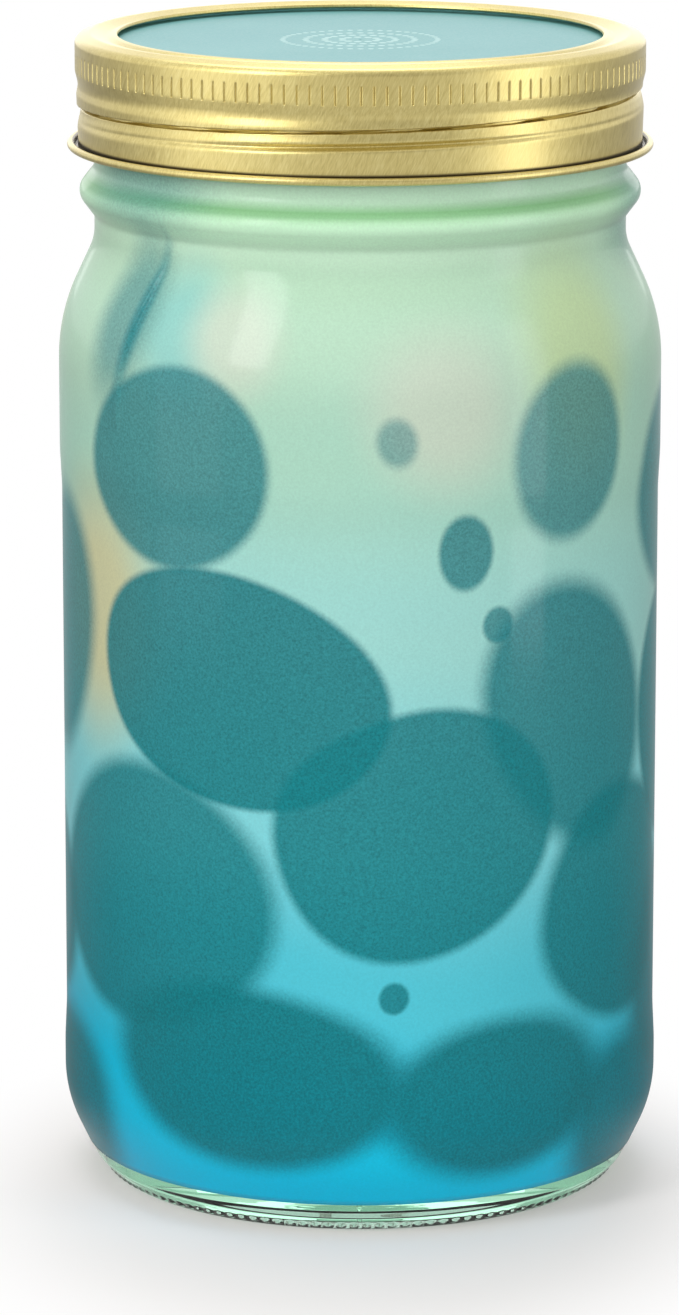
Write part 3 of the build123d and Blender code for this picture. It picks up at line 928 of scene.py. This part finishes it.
def make_medium():
    """The coir plug: a rough crowned body, and loose fibres on it."""
    draw = random.Random(SEED)
    low = medium_low.z / MM
    high = medium_high.z / MM
    crown = 1.4
    edge = 2.0
    fibre_count = 1500
    top_radius = medium_high.x / MM
    low_radius = top_radius - 2.6
    outline = rounded([
        (0.05, low, 0),
        (low_radius - 2.6, low, 0),
        (low_radius, low + 3.0, 2.0),
        (top_radius, high - crown - edge, 2.0),
        (top_radius - edge, high - crown, 2.5),
        (0.05, high - 0.2, 0),
    ], 0.6)
    body = lathe("coir_plug", outline, 300)
    mesh = body.data
    places = np.array([vertex.co for vertex in mesh.vertices]) / MM
    normals = np.array([vertex.normal for vertex in mesh.vertices])
    relief = np.array([
        0.55 * abs(noise.noise(Vector(p) * 0.35)) + 0.35 * abs(noise.noise(Vector(p) * 1.1)) for p in places
    ])
    places -= normals * relief[:, None]
    mesh.vertices.foreach_set("co", (places * MM).ravel())
    points = []
    faces = []
    for _ in range(fibre_count):
        reach = (top_radius - 3.0) * math.sqrt(draw.random())
        turn = draw.uniform(0, TURN)
        level = high - crown * (reach / top_radius) - 0.35
        start = (reach * math.cos(turn), reach * math.sin(turn), level + draw.uniform(-0.15, 0.1))
        size = draw.uniform(0.05, 0.11)
        new_points, new_faces = strand(start, draw.uniform(0, TURN), draw.uniform(2.5, 7.0), size, draw)
        if max(math.hypot(p.x, p.y) for p in new_points) > top_radius - 0.4:
            continue
        faces += [tuple(index + len(points) for index in face) for face in new_faces]
        points += new_points
    fibres = new_mesh("coir_fibres", points, faces)
    return body, fibres


medium, fibres = make_medium()
coir = coir_material()
dress(medium, coir, "pot", "coir", "growing_medium")
dress(fibres, coir, "pot", "coir")


# Wick
def make_wick():
    """The felt strip, folded over in the pot, with both tails swaying a little below it."""
    draw = random.Random(SEED)
    thick = 2.5
    corner = 0.9
    most_sway = 1.4
    most_curl = 0.9
    half = wick_high.x / MM - thick / 2
    top = wick_high.z / MM - thick / 2
    low = wick_low.z / MM
    width = (wick_high.y - wick_low.y) / MM
    bend = half - thick / 2
    pot_floor = pot_low.z / MM
    line = rounded([(-half, low, 0), (-half, top, bend), (half, top, bend), (half, low, 0)], 0.8)
    along = np.gradient(line, axis=0)
    along /= np.linalg.norm(along, axis=1)[:, None]
    normal = np.stack([-along[:, 1], along[:, 0]], 1)
    edge = width / 2 - corner
    half_ring = [(y, thick / 2) for y in np.linspace(-edge, edge, 15)]
    for step in range(1, 6):
        turn = math.pi * step / 6
        half_ring.append((edge + corner * math.sin(turn), thick / 2 * math.cos(turn)))
    ring = half_ring + [(-y, -depth) for y, depth in half_ring]
    points = []
    for (x, z), (nx, nz) in zip(line, normal):
        free = 1 - min(1.0, max(0.0, (z - low - 20) / (pot_floor - low - 30)))
        side = 1 if x > 0 else -1
        sway = free * most_sway * math.sin((z + 20 * side) / 17.0) * side
        curl = free * most_curl * math.sin(z / 23.0 + side)
        for y, depth in ring:
            fuzz = 0.12 * noise.noise(Vector((x, y, z)) * 1.3) + 0.05 * draw.uniform(-1, 1)
            out = depth + math.copysign(fuzz, depth) - math.copysign(0.1, depth)
            cup = curl * (2 * y / width) ** 2 * 0.5
            points.append((x + nx * out + sway + cup * side, y, z + nz * out))
    sides = len(ring)
    rows = len(line)
    faces = [tuple(range(sides)), tuple(reversed(range((rows - 1) * sides, rows * sides)))]
    for row in range(rows - 1):
        for index in range(sides):
            after = (index + 1) % sides
            faces.append((row * sides + index, (row + 1) * sides + index,
                          (row + 1) * sides + after, row * sides + after))
    length = np.linalg.norm(np.diff(line, axis=0), axis=1).sum()
    return new_mesh("felt_wick", points, faces), width, length


wick, wick_width, wick_length = make_wick()
dress(wick, felt_material(), "pot", "wick_felt", "wick")


# Seed packet
def block(name, low, high):
    """A closed thin block between two layers of points, each an array of columns by rows."""
    columns, rows, _ = low.shape
    layer = columns * rows
    grid = np.arange(layer).reshape(columns, rows)
    faces = []
    for here in grid[:-1, :-1].ravel().tolist():
        corners = (here, here + rows, here + rows + 1, here + 1)
        faces.append(corners[::-1])
        faces.append(tuple(corner + layer for corner in corners))
    edge = np.concatenate([grid[:, 0], grid[-1, 1:], grid[-2::-1, -1], grid[0, -2:0:-1]]).tolist()
    for here, after in zip(edge, edge[1:] + edge[:1]):
        faces.append((here, after, after + layer, here + layer))
    points = np.concatenate([low.reshape(-1, 3), high.reshape(-1, 3)])
    return new_mesh(name, points, faces)


def rippled(x, y, scale, level=0.0):
    """A smooth random height over a grid, about -1 to 1. Each level has its own."""
    return np.vectorize(lambda a, b: noise.noise(Vector((a * scale, b * scale, level))))(x, y)


def make_seed_packet():
    """The kraft paper packet: a slightly filled envelope and its folded flap."""
    low = seed_low.z / MM
    reach = seed_high.x / MM
    half = seed_high.y / MM
    paper = 0.25
    fill = 0.75
    flap = 12.0
    flap_taper = 5.0
    flap_gap = 0.03
    flap_spring = 0.12
    fold = 0.5

    def filled(x, y):
        """Height of the envelope's upper face."""
        crown = np.clip((1 - (x / reach) ** 4) * (1 - (y / half) ** 4), 0, 1)
        grain = 0.10 * rippled(x, y, 0.16) + 0.05 * rippled(x, y, 0.5, 9.0)
        return low + paper + np.maximum(0, fill * crown ** 0.6 + grain * 1.5 * crown ** 0.3)

    x, y = np.meshgrid(np.linspace(-reach, reach, 120), np.linspace(-half, half, 90), indexing="ij")
    layers = [np.stack([x, y, height], 2) for height in (np.full_like(x, low), filled(x, y))]
    envelope = block("kraft_packet", *layers)
    x, y = np.meshgrid(np.linspace(reach - flap, reach, 40), np.linspace(-1, 1, 60), indexing="ij")
    share = (reach - x) / flap
    y = y * (half - flap_taper * share)
    bend = np.sqrt(1 - np.clip((x - reach + fold) / fold, 0, 1) ** 2)
    layers = [np.stack([x, y, filled(x, y) + lift * bend + flap_spring * share ** 2], 2)
              for lift in (flap_gap, flap_gap + paper)]
    return envelope, block("kraft_packet_flap", *layers)


packet, packet_flap = make_seed_packet()
kraft = kraft_paper()
dress(packet, kraft, "contents", "packet_paper", "seed_packet")
dress(packet_flap, kraft, "contents", "packet_paper")


# Plant food sachet. Its simulation runs larger than life.
SIM_SCALE = 50.0
SIM_STEPS = 45


def blown_pouch(flat, half, seal, volume):
    """The sachet's two layers by cloth simulation: an empty pouch, sealed at both ends and folded along
    its sides, blown up until it holds its filling."""
    columns, rows, _ = flat.shape
    top = np.arange(columns * rows).reshape(columns, rows)
    inner = np.zeros((columns, rows), bool)
    inner[1:-1] = np.abs(flat[1:-1, :, 1]) < half.y - seal
    bottom = top.copy()
    bottom[inner] = columns * rows + np.arange(inner.sum())
    points = np.concatenate([flat.reshape(-1, 3), flat[inner] - (0, 0, 0.1)]) * SIM_SCALE
    faces = []
    for layer, turned in ((top, False), (bottom, True)):
        quads = np.stack([layer[:-1, :-1], layer[1:, :-1], layer[1:, 1:], layer[:-1, 1:]], 2).reshape(-1, 4)
        if turned:
            quads = quads[(quads >= columns * rows).any(1)][:, ::-1]
        faces += quads.tolist()
    pouch = new_mesh("pouch", points, faces)
    cloth = pouch.modifiers.new("cloth", "CLOTH").settings
    cloth.quality = 5
    cloth.mass = 0.2
    cloth.tension_stiffness = cloth.compression_stiffness = 30.0
    cloth.shear_stiffness = 10.0
    cloth.bending_stiffness = 0.4
    cloth.air_damping = 4.0
    cloth.use_pressure = True
    cloth.use_pressure_volume = True
    cloth.target_volume = volume * (SIM_SCALE * MM) ** 3
    cloth.uniform_pressure_force = 3.0
    cloth.effector_weights.gravity = 0.0
    scene = bpy.context.scene
    for step in range(1, SIM_STEPS + 1):
        scene.frame_set(step)
    solved = pouch.evaluated_get(bpy.context.evaluated_depsgraph_get()).data
    places = np.array([vertex.co for vertex in solved.vertices]) / (SIM_SCALE * MM)
    bpy.data.objects.remove(pouch)
    scene.frame_set(1)
    return [places[bottom], places[top]]


def make_sachet():
    """The filled sachet: a film pillow between two crimped seals, lying on the seed packet."""
    half = Vector((sachet_high.x / MM, sachet_high.y / MM))
    low = sachet_low.z / MM
    thick = sachet_high.z / MM - low
    seal = 4.0
    film_thick = 0.10
    filling_share = 0.5
    crimp_height = 0.12
    crimp_rate = 5.0
    x, y = np.meshgrid(np.linspace(-half.x, half.x, 51), np.linspace(-half.y, half.y, 71), indexing="ij")
    flat = np.stack([x, y, np.zeros_like(x)], 2)
    layers = blown_pouch(flat, half, seal, filling_share * 4 * half.x * half.y * thick)
    crimp = crimp_height * np.sin(np.abs(y) * crimp_rate) * (np.abs(y) > half.y - seal)
    finished = []
    for side, layer in zip((-1, 1), layers):
        outwards = np.cross(np.gradient(layer, axis=0), np.gradient(layer, axis=1))
        outwards /= np.linalg.norm(outwards, axis=2)[:, :, None] + 1e-9
        finished.append(layer + side * film_thick * outwards + np.stack([0 * x, 0 * x, crimp], 2))
    both = np.stack(finished)
    for axis, reach in ((0, half.x), (1, half.y)):
        both[..., axis] *= reach / np.abs(both[..., axis]).max()
    height = both[..., 2]
    both[..., 2] = low + (height - height.min()) * thick / (height.max() - height.min())
    return block("pillow_sachet", *both)


sachet = make_sachet()
dress(sachet, sachet_film(), "contents", "sachet_film", "plant_food_sachet")


# Camera
def make_camera():
    """The photograph's camera: one metre in front of the jar's axis, looking a little down."""
    data = bpy.data.cameras.new("camera")
    data.sensor_width = 36.0
    data.lens = 174.6
    camera = placed("camera", data)
    camera.location = (-0.00327, -1.0, 0.3032)
    camera.rotation_euler = (math.radians(90 - 12.41), 0, 0)
    bpy.context.scene.camera = camera


# Floor, world and lamps
def make_floor():
    """A pale floor that takes the jar's shadow and turns to plain white away from it. Gloss shows it dimmer
    towards the sides and the back."""
    graph = Graph("floor_white")
    rays = graph.rays()
    place = graph.place()
    flat = graph.parts(place)
    turned = graph.math("ARCTAN2", flat["X"], graph.math("MULTIPLY", flat["Y"], -1.0))
    aside = graph.math("DIVIDE", graph.math("ABSOLUTE", turned), math.pi)
    greys = ((0.00, 0.90), (0.42, 0.80), (0.56, 0.42), (0.76, 0.38), (0.95, 0.80))
    dimmed = graph.ramp(aside, [(share, 3 * (grey,)) for share, grey in greys])
    spread = graph.range(graph.length(place), 0.45, 0.74, 0.82, 1.05, "SMOOTHSTEP")
    mirrored = graph.math("MULTIPLY", rays["Is Glossy Ray"], graph.math("MULTIPLY", dimmed, spread))
    seen = graph.seen(rays, mirrored)
    shadow_middle = (-0.001, -0.020, 0.0)
    shadow_stretch = (1.18, 1.6, 1.0)
    away = graph.from_oval(place, shadow_middle, shadow_stretch)
    far = graph.range(away, 0.034, 0.064, kind="SMOOTHSTEP")
    through_glass = graph.math("MULTIPLY", rays["Is Transmission Ray"], 0.9)
    white = graph.math("MAXIMUM", graph.range(far, 0.0, 1.0, 0.17, 1.0), through_glass)
    shaded = graph.blend(far, (0.785, 0.738, 0.718), (0.0, 0.0, 0.0))
    graph.shade(Base_Color=shaded, Roughness=0.9, Specular_IOR_Level=0.0)
    strength = graph.math("MULTIPLY", seen, white)
    glow = graph.add("ShaderNodeEmission", {"Color": (1, 1, 1, 1), "Strength": strength})
    graph.result(Surface=graph.add("ShaderNodeAddShader", {0: graph.shader.outputs[0], 1: glow}))
    side = 4000.0
    corners = [(-side, -side, 0), (side, -side, 0), (side, side, 0), (-side, side, 0)]
    floor = new_mesh("floor", corners, [(0, 1, 2, 3)])
    floor.data.materials.append(graph.owner)


def make_world():
    """Even white surroundings, dimmer as a light than as a background. Gloss shows the front darker."""
    graph = Graph("studio", bpy.data.worlds)
    bpy.context.scene.world = graph.owner
    rays = graph.rays()
    white = graph.range(graph.seen(rays, rays["Is Glossy Ray"]), 0.0, 1.0, 0.50, 1.0)
    towards = graph.parts(graph.add("ShaderNodeTexCoord", output="Generated"))["Y"]
    room = graph.range(towards, -0.2, -0.8, 0.0, 0.45, "SMOOTHSTEP")
    taken = graph.math("MULTIPLY", room, rays["Is Glossy Ray"])
    background = graph.tree.nodes["Background"]
    background.inputs["Color"].default_value = (1, 1, 1, 1)
    graph.set(background.inputs["Strength"], graph.math("SUBTRACT", white, taken))


# Soft rectangular lamps: (name, place, what it looks at, sizes, power, whether gloss shows it)
LAMPS = [
    ("lamp_left", (-0.44, -0.20, 0.19), (0, 0, 0.19), (0.24, 0.38), 0.19, True),
    ("lamp_right", (0.42, -0.205, 0.19), (0, 0, 0.19), (0.12, 0.38), 0.38, True),
    ("lamp_high", (-0.36, -0.40, 0.40), (0, 0, 0.14), (0.16, 0.36), 1.15, True),
    ("lamp_back", (0.0, 1.2, 0.36), (0, 0, 0.2), (1.2, 0.5), 1.8, True),
    ("lamp_top", (-0.1, 0.35, 1.3), (0, 0, 0), (0.9, 0.7), 6.0, True),
    ("lamp_front", (0.2, -1.9, 0.35), (0, 0, 0.1), (1.6, 0.6), 14.0, False),
]


def make_lamps():
    """Plain soft light from all round."""
    for name, place, target, sizes, power, mirrored in LAMPS:
        data = bpy.data.lights.new(name, "AREA")
        data.shape = "RECTANGLE"
        data.size, data.size_y = sizes
        data.energy = power
        lamp = placed(name, data)
        lamp.location = place
        lamp.rotation_euler = (Vector(target) - Vector(place)).to_track_quat("-Z", "Y").to_euler()
        lamp.visible_glossy = mirrored


make_camera()
make_floor()
make_world()
make_lamps()
bpy.context.scene.view_settings.view_transform = "Standard"
